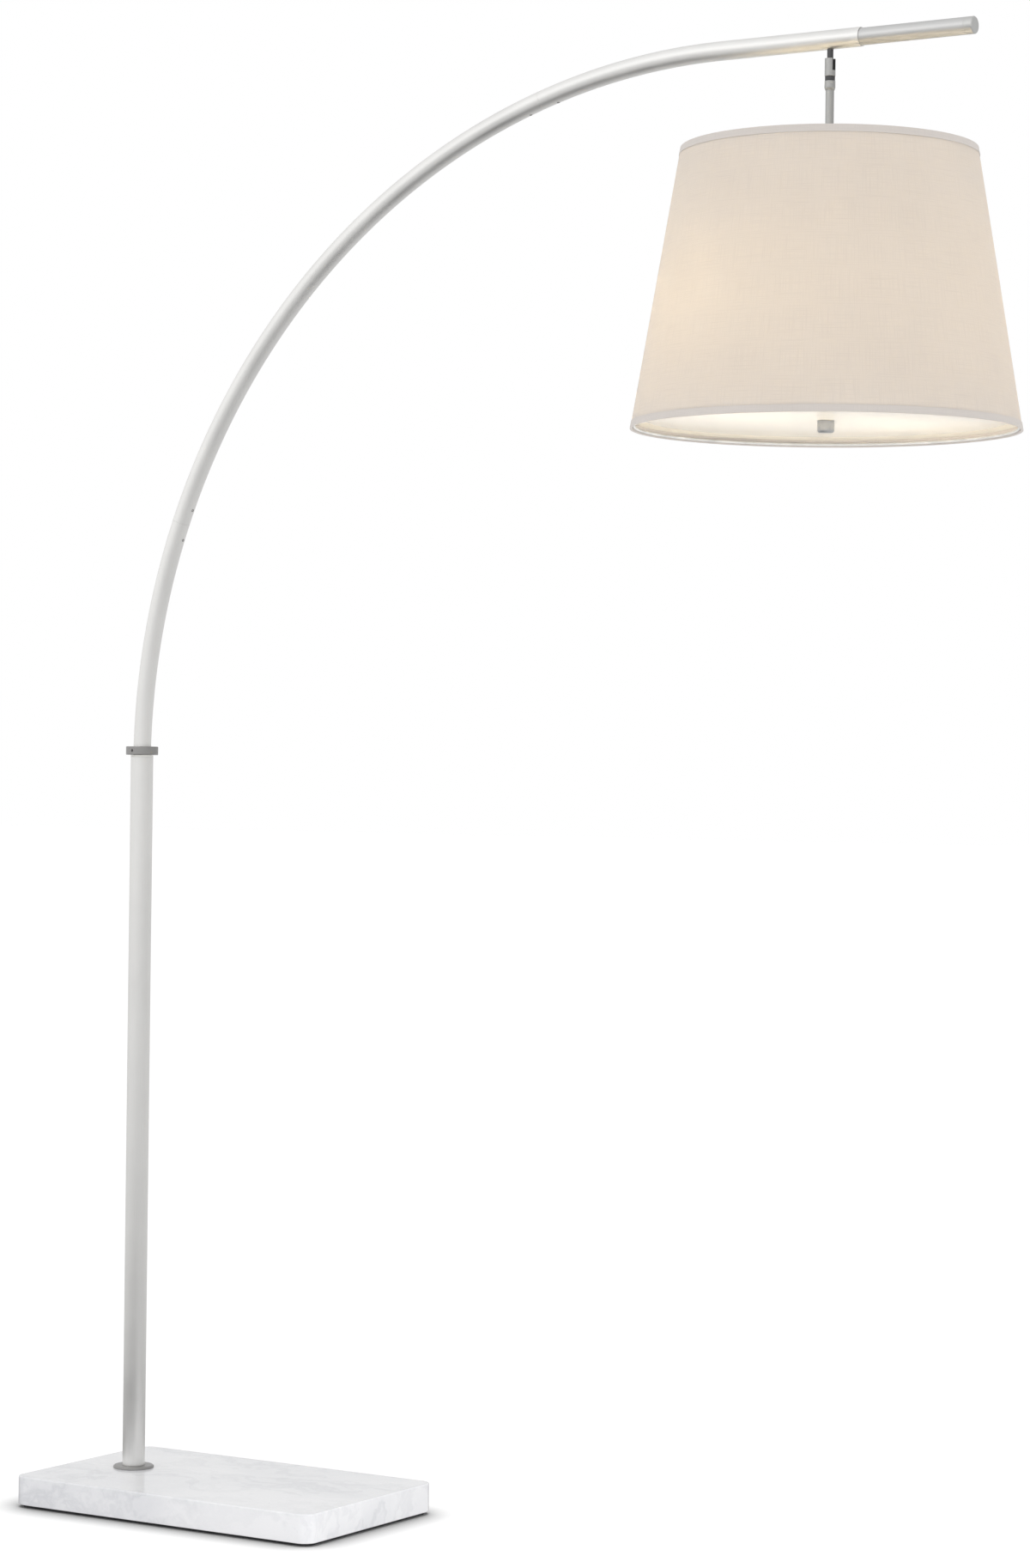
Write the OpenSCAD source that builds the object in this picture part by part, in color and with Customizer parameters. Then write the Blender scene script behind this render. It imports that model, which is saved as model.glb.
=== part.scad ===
// Arc floor lamp: a marble base, a pole, a quarter-circle arm that turns in the pole,
// and a hanging drum shade on a swivel. Millimetres, +Z up, +X from the pole to the shade.
// The origin is on the floor, on the pole's axis.

/* [Base] */
// Length of the marble slab along the arm's direction
slab_len = 510; // [440:5:600]
// Width of the marble slab
slab_wid = 308; // [260:2:360]
// Thickness of the marble slab
slab_thick = 40; // [34:1:50]
// Radius of the slab's upright corners
slab_corner = 20; // [8:1:40]
// Distance from the slab's back end to the pole's axis
pole_inset = 95; // [70:1:130]
// Thickness of the pad under the slab
pad_thick = 4; // [2:0.5:6]
// How far the pad stays back from the slab's edges
pad_inset = 7; // [3:1:14]
// Diameter of the flange at the pole's foot
flange_dia = 58; // [50:1:90]
// Thickness of the flange
flange_thick = 3.5; // [3:0.5:8]

/* [Pole] */
// Outer diameter of the pole
pole_dia = 32; // [30:0.5:34]
// Wall of the pole
pole_wall = 1.5; // [1.2:0.1:1.5]
// Height of the pole's top above the floor
pole_top = 1062; // [1062:0.5:1063]

/* [Arm] */
// Outer diameter of the arm tubes
arm_dia = 25; // [25:0.1:25.2]
// Wall of the arm tubes
arm_wall = 1.2; // [1:0.1:1.3]
// Radius of the arm's quarter circle, at the tube's centre
arc_radius = 935; // [900:5:980]
// Height at which the quarter circle starts
arc_start = 1053; // [1053:0.5:1055]
// Angle of the seam between the lower and the middle arm tube
seam_low = 21.5; // [15:0.5:30]
// Angle of the seam between the middle and the upper arm tube
seam_high = 73; // [60:0.5:80]
// Horizontal distance from the pole's axis to the shade's axis
reach = 1095; // [1060:1:1120]
// How far the upper tube runs past the shade's axis
upper_past = 45; // [40:1:60]
// How far the end tube and its cap run past the shade's axis
tip_past = 205; // [150:1:240]
// Outer diameter of the end tube, which slides into the upper tube
tip_dia = 22.4; // [22:0.1:22.4]

/* [Hanger] */
// Height of the swivel's axis below the arm's centreline
pivot_drop = 31.5; // [31:0.5:36]
// Diameter of the swivel cup
cup_dia = 14; // [13.5:0.1:15]
// Outer diameter of the hollow hanging stud
stud_dia = 8; // [7.6:0.1:8]
// Diameter of the swivel's two pins
pin_dia = 3; // [2.5:0.1:3]
// Outer diameter of the stem
stem_dia = 11; // [10.6:0.1:11]

/* [Shade] */
// Diameter of the shade's top edge
shade_top_dia = 381; // [340:1:420]
// Diameter of the shade's bottom edge
shade_bottom_dia = 502; // [480:1:520]
// Height of the shade
shade_height = 360; // [320:1:380]
// Height of the shade's bottom edge above the floor
shade_floor = 1487.5; // [1460:0.5:1500]
// Thickness of the linen cover
cover_thick = 0.8; // [0.6:0.1:1]
// Thickness of the stiff liner behind the linen
liner_thick = 1.2; // [0.8:0.1:1.5]
// Height of the hem bands at the top and bottom edges
trim_height = 9; // [6:0.5:14]
// Diameter of the diffuser disc
diffuser_dia = 470; // [400:1:480]
// Height of the diffuser disc's underside above the shade's bottom edge
diffuser_lift = 12; // [10:0.5:20]

/* [Light] */
// Direction of the first bulb, seen from above, from +X
bulb_turn = 57; // [0:1:179]
// How far the bulbs point down from level
bulb_dip = 25; // [15:1:35]
// Diameter of the bulb's glass
bulb_dia = 60; // [50:1:62]

/* [Hidden] */
$fn = 96;
small = 0.05;          // clearance of a fit inside one body
run = 0.05;            // radial clearance of a running fit
gap = 0.3;             // clearance between faces of two bodies
lead_dia = 3.6;        // internal two-core lead
lead_bore = 4.4;       // bore of the hollow studs that the lead passes through
nipple_dia = 9.6;      // threaded nipple in the base

slab_bottom = pad_thick;
slab_top = slab_bottom + slab_thick;
flange_top = slab_top + flange_thick;
slab_mid_x = slab_len / 2 - pole_inset;
counterbore_dia = 46;
counterbore_depth = 16;
channel_wid = 9;
channel_depth = 9;
lead_low = slab_bottom + 3;
lead_bend = 6;
nipple_low = slab_bottom + 7;
washer_thick = 2;

pole_bore = pole_dia - 2 * pole_wall;
plug_len = 18;
bush_bottom = 990;
bush_lip = 2;
stop_pin_dia = 4;
stop_pin_z = 975;
tab_low = 967;
tab_half_angle = 6;
spigot_bottom = 960;
collar_dia = 46;
collar_height = 12;
collar_low = pole_top + bush_lip + gap;
collar_slack = 0.8;    // how much wider the collar's bore is than the arm
grub_dia = 4;
hex_dia = 2.3;         // hexagon recess of the small screws, across its corners

arm_bore = arm_dia - 2 * arm_wall;
arm_level = arc_start + arc_radius;
arm_end = reach + tip_past;
coupler_angle = 2.2;   // how far each coupler reaches past its seam, in degrees
coupler_dia = arm_bore - 2 * small;
coupler_wall = 1.5;
tip_start = reach + 17;
tip_bore = tip_dia - 2;
upper_end = reach + upper_past;
cap_band = 10;
cap_dome = 3;
screw_past_seam = 1.4; // degrees from a seam to its screw

pivot_z = arm_level - pivot_drop;
stud_top = arm_level - 5;
stud_bottom = pivot_z - 6;
hang_nut_dia = 12.7;   // across its corners
hang_nut_low = arm_level - sqrt(pow(arm_bore / 2, 2) - pow(hang_nut_dia / 2, 2)) + gap;
cup_top = pivot_z + 7.5;
cup_bottom = pivot_z - 15.5;
slot_floor = pivot_z - 8;
slot_wid = stud_dia + 2 * gap;
head_cavity = 5;
head_dia = 9.9;
head_z = cup_bottom + 1.3;
head_thick = 3;
ring_dia = 13;
ring_height = 5.5;
ring_low = cup_bottom - ring_height;
coupling_dia = 14;
coupling_height = 12;
coupling_top = ring_low - gap;
coupling_low = coupling_top - coupling_height;
stem_seat = 6;
stem_bore = stem_dia - 2.4;

shade_top = shade_floor + shade_height;
ring_wire = 3.2;       // wire of the shade's two rings
spider_drop = 12;      // depth of the spider's hub below the shade's top edge
spider_z = shade_top - spider_drop;
spider_hub_dia = 34;
spider_hub_thick = 3;
spider_arm_dia = 3;
spider_turn = 32;       // direction of the first wire, seen from above
bulb_count = 2;
hub_dia = 48;
hub_top = shade_floor + 215;
hub_height = 42;
hub_low = hub_top - hub_height;
hub_mid = hub_top - hub_height / 2;
socket_dia = 36;
socket_start = 32;     // along the bulb's axis, from the hub's middle
socket_len = 51;
socket_bore = 28;
screw_dia = 26;
screw_len = 26;
screw_start = socket_start + socket_len - screw_len - 3;
glass_start = screw_start + screw_len;
glass_len = 82;        // from the screw base to the glass's far end
neck_dia = 27;
neck_len = 5;          // straight part of the neck, inside the socket's mouth
diffuser_thick = 3;
diffuser_low = shade_floor + diffuser_lift;
diffuser_top = diffuser_low + diffuser_thick;
rod_dia = 6;
finial_dia = 22;
finial_height = 16;

nickel = [0.74, 0.73, 0.71];
dark = [0.17, 0.17, 0.18];
linen = [0.90, 0.85, 0.79];
marble = [0.88, 0.88, 0.89];

// ---- helpers ----

// Upright tube from z0 to z1
module tube(z0, z1, outer, inner) {
    translate([0, 0, z0])
        difference() {
            cylinder(h = z1 - z0, d = outer);
            translate([0, 0, -1])
                cylinder(h = z1 - z0 + 2, d = inner);
        }
}

// Upright rod from z0 to z1
module rod(z0, z1, dia) {
    translate([0, 0, z0])
        cylinder(h = z1 - z0, d = dia);
}

// Rod along X from x0 to x1
module level_rod(x0, x1, dia) {
    translate([x0, 0, 0])
        rotate([0, 90, 0])
            cylinder(h = x1 - x0, d = dia);
}

// Tube along X from x0 to x1, on the arm's level centreline
module level_tube(x0, x1, outer, inner) {
    translate([0, 0, arm_level])
        difference() {
            level_rod(x0, x1, outer);
            level_rod(x0 - 1, x1 + 1, inner);
        }
}

// Rectangle with four round upright corners
module round_plate(length, width, height, corner) {
    translate([-length / 2 + corner, -width / 2, 0])
        cube([length - 2 * corner, width, height]);
    translate([-length / 2, -width / 2 + corner, 0])
        cube([length, width - 2 * corner, height]);
    for (sx = [-1, 1], sy = [-1, 1])
        translate([sx * (length / 2 - corner), sy * (width / 2 - corner), 0])
            cylinder(h = height, r = corner);
}

// Rod that follows the arm's quarter circle from angle a0 to a1; 0 is upright, 90 is level
module arc_rod(a0, a1, dia) {
    translate([arc_radius, 0, arc_start])
        rotate([90, 0, 0])
            rotate_extrude(angle = a1 - a0, start = 180 - a1)
                translate([arc_radius, 0])
                    circle(d = dia);
}

// Tube that follows the arm's quarter circle
module arc_tube(a0, a1, outer, inner) {
    difference() {
        arc_rod(a0, a1, outer);
        arc_rod(a0 - 1, a1 + 1, inner);
    }
}

// Places children on the arm's centreline at an angle, with +Z pointing at the arc's centre
module on_arc(angle) {
    translate([arc_radius * (1 - cos(angle)), 0, arc_start + arc_radius * sin(angle)])
        rotate([0, 90 + angle, 0])
            children();
}

// Places children on the shade's axis
module at_shade() {
    translate([reach, 0, 0])
        children();
}

// Places children at the hub's middle, with +Z along bulb number i
module on_bulb_axis(i) {
    translate([reach, 0, hub_mid])
        rotate([0, 90 + bulb_dip, bulb_turn + 360 / bulb_count * (i - 1)])
            children();
}

// Shade radius at a height above the shade's bottom edge
function shade_radius(h) = (shade_bottom_dia + (shade_top_dia - shade_bottom_dia) * h / shade_height) / 2;

// Conical shell from h0 to h1 above the bottom edge, between two offsets inside the shade's outer face
module shade_shell(h0, h1, outer_offset, inner_offset) {
    at_shade()
        translate([0, 0, shade_floor])
            rotate_extrude()
                polygon([
                    [shade_radius(h0) - inner_offset, h0],
                    [shade_radius(h0) - outer_offset, h0],
                    [shade_radius(h1) - outer_offset, h1],
                    [shade_radius(h1) - inner_offset, h1]
                ]);
}

// Hem band folded over an edge: an outer face, a lip over the edge and an inner face
module hem(h_edge, h_far, lip) {
    wall = 0.5;
    depth = cover_thick + liner_thick + 3 * small;
    h_lip = h_edge + lip * wall;
    low = min(h_far, h_edge);
    high = max(h_far, h_edge);
    union() {
        shade_shell(low, high, -small - wall, -small);
        shade_shell(low, high, depth, depth + wall);
        shade_shell(min(h_edge, h_lip), max(h_edge, h_lip), -small - wall, depth + wall);
    }
}

// ---- base ----

module base_pad() {
    color(dark)
        translate([slab_mid_x, 0, 0])
            round_plate(slab_len - 2 * pad_inset, slab_wid - 2 * pad_inset, pad_thick, slab_corner - pad_inset);
}

module base_slab() {
    color(marble)
        difference() {
            translate([slab_mid_x, 0, slab_bottom])
                round_plate(slab_len, slab_wid, slab_thick, slab_corner);
            rod(slab_bottom - 1, slab_top + 1, nipple_dia + 2 * small);
            rod(slab_bottom - 1, slab_bottom + counterbore_depth, counterbore_dia);
            translate([-pole_inset - 1, -channel_wid / 2, slab_bottom - 1])
                cube([pole_inset, channel_wid, channel_depth + 1]);
        }
}

module base_flange() {
    color(dark)
        tube(slab_top, flange_top, flange_dia, nipple_dia + 2 * small);
}

module base_nipple() {
    color(nickel)
        tube(nipple_low, flange_top + plug_len - 2, nipple_dia, lead_bore + 1);
}

module base_washer() {
    washer_dia = 38;
    top = slab_bottom + counterbore_depth;
    color(nickel)
        tube(top - washer_thick, top, washer_dia, nipple_dia + 2 * small);
}

module base_nut() {
    nut_height = 6;
    nut_dia = 19.6;
    top = slab_bottom + counterbore_depth - washer_thick;
    color(nickel)
        difference() {
            translate([0, 0, top - nut_height])
                cylinder(h = nut_height, d = nut_dia, $fn = 6);
            rod(top - nut_height - 1, top + 1, nipple_dia + 2 * small);
        }
}

module cord_gland() {
    gland_len = 12;
    color(dark)
        difference() {
            translate([-pole_inset + small, -channel_wid / 2 + small, slab_bottom + small])
                cube([gland_len, channel_wid - 2 * small, channel_depth - 2 * small]);
            translate([0, 0, lead_low])
                level_rod(-pole_inset - 1, -pole_inset + gland_len + 1, lead_dia + 2 * small);
        }
}

// ---- pole ----

module pole_lead() {
    color(dark) {
        translate([0, 0, lead_low])
            level_rod(-pole_inset + 2, -lead_bend, lead_dia);
        translate([-lead_bend, 0, lead_low + lead_bend])
            rotate([90, 0, 0])
                rotate_extrude(angle = 90, start = 270)
                    translate([lead_bend, 0])
                        circle(d = lead_dia);
        rod(lead_low + lead_bend, spigot_bottom - 5, lead_dia);
    }
}

module pole_tube() {
    color(nickel)
        tube(flange_top, pole_top, pole_dia, pole_bore);
}

module pole_plug() {
    color(nickel)
        tube(flange_top, flange_top + plug_len, pole_bore - 2 * small, nipple_dia + 2 * small);
}

module swivel_bush() {
    bush_dia = pole_bore - 2 * small;
    tab_inner = arm_dia / 2 + 0.5;
    color([0.9, 0.9, 0.88]) {
        difference() {
            union() {
                rod(bush_bottom, pole_top, bush_dia);
                rod(pole_top, pole_top + bush_lip, pole_dia);
            }
            rod(bush_bottom - 1, pole_top + bush_lip + 1, arm_dia + 2 * run);
            rod(arc_start - 3, pole_top + bush_lip + 1, arm_dia + 2);
        }
        translate([0, 0, tab_low])
            rotate_extrude(angle = 2 * tab_half_angle, start = 180 - tab_half_angle)
                translate([tab_inner, 0])
                    square([bush_dia / 2 - tab_inner, bush_bottom - tab_low]);
    }
}

// ---- arm ----

module arm_collar() {
    color(dark)
        difference() {
            rod(collar_low, collar_low + collar_height, collar_dia);
            rod(collar_low - 1, collar_low + collar_height + 1, arm_dia + collar_slack);
            for (side = [-1, 1])
                collar_screw_place(side)
                    cylinder(h = collar_dia, d = grub_dia + 2 * small);
        }
}

// Places children on the collar's side, with +Z pointing outwards along Y
module collar_screw_place(side) {
    translate([0, 0, collar_low + collar_height / 2])
        rotate([-90 * side, 0, 0])
            translate([0, 0, arm_dia / 2 + 1])
                children();
}

module collar_screws() {
    screw_len = 8.5;
    color(dark)
        for (side = [-1, 1])
            collar_screw_place(side)
                difference() {
                    cylinder(h = screw_len, d = grub_dia);
                    translate([0, 0, screw_len - 2])
                        cylinder(h = 3, d = hex_dia, $fn = 6);
                }
}

module arm_lower() {
    color(nickel)
        difference() {
            union() {
                tube(spigot_bottom, arc_start, arm_dia, arm_bore);
                arc_tube(0, seam_low, arm_dia, arm_bore);
            }
            arc_rod(-0.1, 0.1, arm_bore);
            translate([0, 0, stop_pin_z])
                level_rod(0, arm_dia, stop_pin_dia + 2 * small);
            seam_screw_hole(seam_low, -1);
        }
}

module arm_middle() {
    color(nickel)
        difference() {
            arc_tube(seam_low, seam_high, arm_dia, arm_bore);
            seam_screw_hole(seam_low, 1);
            seam_screw_hole(seam_high, -1);
        }
}

module arm_upper() {
    color(nickel)
        difference() {
            union() {
                arc_tube(seam_high, 90, arm_dia, arm_bore);
                level_tube(arc_radius, upper_end, arm_dia, arm_bore);
            }
            seam_screw_hole(seam_high, 1);
            at_shade()
                rod(arm_level - arm_dia, arm_level, stud_dia + 2 * small);
        }
}

module arm_tip() {
    color(nickel)
        level_tube(tip_start, arm_end - cap_band - cap_dome, tip_dia, tip_bore);
}

// Hole through the inner side of the arm, beside a seam
module seam_screw_hole(seam, side) {
    on_arc(seam + side * screw_past_seam)
        cylinder(h = arm_dia, d = grub_dia + 2 * small);
}

module coupler(seam) {
    color(nickel)
        difference() {
            arc_tube(seam - coupler_angle, seam + coupler_angle, coupler_dia, coupler_dia - 2 * coupler_wall);
            for (side = [-1, 1])
                seam_screw_hole(seam, side);
        }
}

module lower_coupler() {
    coupler(seam_low);
}

module upper_coupler() {
    coupler(seam_high);
}

module joint_screws() {
    screw_len = 3.6;
    color(dark)
        for (seam = [seam_low, seam_high], side = [-1, 1])
            on_arc(seam + side * screw_past_seam)
                translate([0, 0, arm_dia / 2 - screw_len])
                    difference() {
                        cylinder(h = screw_len + 0.4, d = grub_dia);
                        translate([0, 0, screw_len - 1.4])
                            cylinder(h = 3, d = hex_dia, $fn = 6);
                    }
}

module arm_end_cap() {
    plug = 12;
    dome_rim = 2;
    cap_start = arm_end - cap_band - cap_dome;
    color(dark)
        translate([0, 0, arm_level]) {
            level_rod(cap_start - plug, cap_start + 1, tip_bore - 2 * small);
            level_rod(cap_start, cap_start + cap_band, tip_dia);
            translate([cap_start + cap_band, 0, 0])
                rotate([0, 90, 0])
                    cylinder(h = cap_dome, d1 = tip_dia, d2 = tip_dia - 2 * dome_rim);
        }
}

module stop_pin() {
    inner_reach = arm_bore / 2 - 1;
    outer_reach = pole_bore / 2 - 0.5;
    color(nickel)
        translate([0, 0, stop_pin_z])
            level_rod(inner_reach, outer_reach, stop_pin_dia);
}

module arm_lead() {
    bend = 6;
    color(dark) {
        rod(spigot_bottom - 4.5, arc_start, lead_dia);
        arc_rod(0, 90, lead_dia);
        translate([0, 0, arm_level])
            level_rod(arc_radius, reach - bend, lead_dia);
        translate([reach - bend, 0, arm_level - bend])
            rotate([90, 0, 0])
                rotate_extrude(angle = 90)
                    translate([bend, 0])
                        circle(d = lead_dia);
        at_shade()
            rod(pivot_z + 1, arm_level - bend, lead_dia);
    }
}

// ---- hanger ----

module hang_stud() {
    color(dark)
        at_shade()
            difference() {
                rod(stud_bottom, stud_top, stud_dia);
                rod(stud_bottom - 1, stud_top + 1, lead_bore);
                translate([0, 0, pivot_z])
                    rotate([90, 0, 0])
                        cylinder(h = 2 * stud_dia, d = pin_dia + 2 * run, center = true);
            }
}

module hang_nut() {
    nut_height = 3;
    color(nickel)
        at_shade()
            difference() {
                translate([0, 0, hang_nut_low])
                    cylinder(h = nut_height, d = hang_nut_dia, $fn = 6);
                rod(hang_nut_low - 1, hang_nut_low + nut_height + 1, stud_dia + 2 * small);
            }
}

module swivel_cup() {
    color(nickel)
        at_shade()
            difference() {
                rod(cup_bottom, cup_top, cup_dia);
                translate([-cup_dia, -slot_wid / 2, slot_floor])
                    cube([2 * cup_dia, slot_wid, cup_top]);
                rod(cup_bottom - 1, slot_floor + 1, lead_bore + 0.8);
                rod(cup_bottom - 1, cup_bottom + head_cavity, head_dia + 2 * gap);
                translate([0, 0, pivot_z])
                    rotate([90, 0, 0])
                        cylinder(h = 2 * cup_dia, d = pin_dia + 2 * small, center = true);
            }
}

module swivel_pins() {
    pin_inner = lead_bore / 2 + 0.3;
    pin_outer = cup_dia / 2 - 0.4;
    color(dark)
        at_shade()
            for (side = [-1, 1])
                translate([0, side * pin_inner, pivot_z])
                    rotate([-90 * side, 0, 0])
                        cylinder(h = pin_outer - pin_inner, d = pin_dia);
}

module lock_ring() {
    spigot = 1;
    color(dark)
        at_shade()
            difference() {
                union() {
                    rod(ring_low, cup_bottom, ring_dia);
                    rod(cup_bottom, cup_bottom + spigot, head_dia + 2 * gap - 2 * small);
                }
                rod(ring_low - 1, cup_bottom + spigot + 1, stud_dia + 2 * run);
            }
}

module turn_nipple() {
    low = coupling_low + stem_seat + 1;
    color(nickel)
        at_shade()
            difference() {
                union() {
                    rod(low, head_z + small, stud_dia);
                    rod(head_z, head_z + head_thick, head_dia);
                }
                rod(low - 1, head_z + head_thick + 1, lead_bore);
            }
}

module stem_coupler() {
    taper = 3;
    color(nickel)
        at_shade()
            difference() {
                union() {
                    rod(coupling_low + taper, coupling_top, coupling_dia);
                    translate([0, 0, coupling_low])
                        cylinder(h = taper, d1 = stem_dia + 1.2, d2 = coupling_dia);
                }
                rod(coupling_low - 1, coupling_top + 1, stud_dia + 2 * small);
                rod(coupling_low - 1, coupling_low + stem_seat, stem_dia + 2 * small);
            }
}

module stem_tube() {
    color(nickel)
        at_shade()
            tube(hub_top, coupling_low + stem_seat, stem_dia, stem_bore);
}

module stem_lead() {
    color(dark)
        at_shade()
            rod(hub_top - 6, head_z + head_thick + 0.8, lead_dia);
}

// ---- shade ----

// Radius of a ring wire that lies against the liner's inner face
function ring_radius(h) = shade_radius(h) - cover_thick - liner_thick - 0.5 - ring_wire / 2 - 6 * small;

module wire_ring(h) {
    at_shade()
        translate([0, 0, shade_floor + h])
            rotate_extrude()
                translate([ring_radius(h), 0])
                    circle(d = ring_wire);
}

module spider() {
    ring_h = shade_height - ring_wire;
    arm_len = ring_radius(ring_h);
    rise = shade_floor + ring_h - spider_z;
    slope = atan(rise / (arm_len - spider_hub_dia / 2));
    hub_edge = spider_hub_dia / 2 - 3;
    color(nickel)
        at_shade() {
            difference() {
                union() {
                    rod(spider_z - spider_hub_thick / 2, spider_z + spider_hub_thick / 2, spider_hub_dia);
                    for (i = [0 : 2])
                        rotate([0, 0, spider_turn + 120 * i])
                            translate([hub_edge, 0, spider_z])
                                rotate([0, 90 - slope, 0])
                                    cylinder(h = (arm_len - hub_edge) / cos(slope), d = spider_arm_dia);
                }
                rod(spider_z - 10, spider_z + 10, stem_dia + 2 * small);
            }
            translate([-reach, 0, 0])
                wire_ring(ring_h);
        }
}

module spider_nuts() {
    nut_height = 6;
    nut_dia = 22;
    above = spider_z + spider_hub_thick / 2;
    below = spider_z - spider_hub_thick / 2 - nut_height;
    color(nickel)
        at_shade()
            for (z = [above, below])
                tube(z, z + nut_height, nut_dia, stem_dia + 2 * small);
}

module shade_liner() {
    color([0.96, 0.95, 0.92])
        shade_shell(0, shade_height, cover_thick + small, cover_thick + small + liner_thick);
}

module shade_cover() {
    color(linen)
        shade_shell(0, shade_height, 0, cover_thick);
}

module top_trim() {
    color(linen)
        hem(shade_height, shade_height - trim_height, 1);
}

module bottom_trim() {
    color(linen)
        hem(0, trim_height, -1);
}

module bottom_ring() {
    color(nickel)
        wire_ring(ring_wire);
}

// ---- light ----

module cluster_hub() {
    boss_dia = 18;
    boss_start = 15;
    color(nickel)
        difference() {
            union() {
                at_shade()
                    rod(hub_low, hub_top, hub_dia);
                for (i = [1 : bulb_count])
                    on_bulb_axis(i)
                        translate([0, 0, boss_start])
                            cylinder(h = socket_start - boss_start, d = boss_dia);
            }
            at_shade() {
                rod(hub_top - 10, hub_top + 1, lead_dia + 2);
                rod(hub_low - 1, hub_low + 12, rod_dia + 2 * small);
            }
        }
}

module socket(i) {
    back = 3;
    color(dark)
        on_bulb_axis(i)
            difference() {
                translate([0, 0, socket_start])
                    cylinder(h = socket_len, d = socket_dia);
                translate([0, 0, socket_start + back])
                    cylinder(h = socket_len, d = socket_bore);
            }
}

module bulb_base(i) {
    contact_dia = 12;
    contact_len = 3;
    color(nickel)
        on_bulb_axis(i) {
            translate([0, 0, screw_start])
                cylinder(h = screw_len, d = screw_dia);
            translate([0, 0, screw_start - contact_len])
                cylinder(h = contact_len + 1, d = contact_dia);
        }
}

// Bulb outline as a straight neck, a cone that meets the ball 8 mm short of its middle, and the ball,
// shrunk by an offset
module bulb_form(inset) {
    ball = bulb_dia / 2 - inset;
    ball_z = glass_start + glass_len - bulb_dia / 2;
    meet = 8;
    cone_low = glass_start + neck_len;
    meet_dia = 2 * sqrt(ball * ball - meet * meet);
    translate([0, 0, ball_z])
        sphere(r = ball);
    translate([0, 0, cone_low])
        cylinder(h = ball_z - meet - cone_low, d1 = neck_dia - 2 * inset, d2 = meet_dia);
    translate([0, 0, glass_start + inset])
        cylinder(h = neck_len - inset + small, d = neck_dia - 2 * inset);
}

module bulb_glass(i) {
    glass_wall = 1;
    color([0.98, 0.96, 0.9])
        on_bulb_axis(i)
            difference() {
                bulb_form(0);
                bulb_form(glass_wall);
            }
}

module diffuser_rod() {
    color(nickel)
        at_shade()
            rod(diffuser_low - 10, hub_low + 11, rod_dia);
}

module diffuser_washer() {
    washer_thick = 2;
    color(nickel)
        at_shade()
            tube(diffuser_top, diffuser_top + washer_thick, 24, rod_dia + 2 * small);
}

module diffuser_disc() {
    color([0.97, 0.96, 0.93])
        at_shade()
            tube(diffuser_low, diffuser_top, diffuser_dia, rod_dia + 2 * small);
}

module finial() {
    edge = 4;
    bottom = diffuser_low - finial_height;
    color(nickel)
        at_shade()
            difference() {
                union() {
                    rod(bottom + edge, diffuser_low, finial_dia);
                    rod(bottom, bottom + edge + 1, finial_dia - 2 * edge);
                    translate([0, 0, bottom + edge])
                        rotate_extrude()
                            translate([finial_dia / 2 - edge, 0])
                                circle(r = edge);
                }
                rod(diffuser_low - 10, diffuser_low + 1, rod_dia + 2 * small);
            }
}

// ---- nodes ----

base_pad();
base_slab();
base_flange();
base_nipple();
base_washer();
base_nut();
cord_gland();
pole_lead();
pole_tube();
pole_plug();
swivel_bush();
arm_collar();
collar_screws();
arm_lower();
arm_middle();
arm_upper();
arm_tip();
lower_coupler();
upper_coupler();
joint_screws();
arm_end_cap();
stop_pin();
arm_lead();
hang_stud();
hang_nut();
swivel_cup();
swivel_pins();
lock_ring();
turn_nipple();
stem_coupler();
stem_tube();
stem_lead();
spider();
spider_nuts();
shade_liner();
shade_cover();
top_trim();
bottom_trim();
bottom_ring();
cluster_hub();
socket(1);  // socket_1
socket(2);  // socket_2
bulb_base(1);  // bulb_base_1
bulb_base(2);  // bulb_base_2
bulb_glass(1);  // bulb_glass_1
bulb_glass(2);  // bulb_glass_2
diffuser_rod();
diffuser_washer();
diffuser_disc();
finial();
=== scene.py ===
"""Arc floor lamp: the looks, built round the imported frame. Metres, +Z up, +X from the pole to the shade."""
import math

import bmesh
import bpy
from mathutils import Matrix, Vector


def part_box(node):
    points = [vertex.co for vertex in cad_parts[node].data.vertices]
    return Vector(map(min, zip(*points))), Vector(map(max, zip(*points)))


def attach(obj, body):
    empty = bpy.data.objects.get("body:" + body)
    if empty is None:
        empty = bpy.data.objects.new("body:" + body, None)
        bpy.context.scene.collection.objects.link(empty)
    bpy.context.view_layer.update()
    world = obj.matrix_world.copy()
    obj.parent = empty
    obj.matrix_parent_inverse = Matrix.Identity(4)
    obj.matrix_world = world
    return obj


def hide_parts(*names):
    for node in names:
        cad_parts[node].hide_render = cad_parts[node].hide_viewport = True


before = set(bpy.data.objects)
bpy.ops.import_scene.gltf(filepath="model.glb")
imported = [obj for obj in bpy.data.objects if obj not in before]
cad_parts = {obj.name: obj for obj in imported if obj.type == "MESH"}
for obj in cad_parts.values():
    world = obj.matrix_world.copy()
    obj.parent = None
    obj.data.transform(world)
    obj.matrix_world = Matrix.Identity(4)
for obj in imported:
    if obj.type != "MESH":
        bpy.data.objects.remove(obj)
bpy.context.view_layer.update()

MM = 0.001
UP = Vector((0, 0, 1))

# ---- camera ----

VIEW_TURN = 32.05        # degrees that the view is turned from square-on to the arm
VIEW_DISTANCE = 5.529
VIEW_ASIDE = 0.535       # how far the camera stands to the right of the pole
VIEW_HEIGHT = 1.029
VIEW_ROLL = 0.69         # degrees
LENS = 88.6


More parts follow.
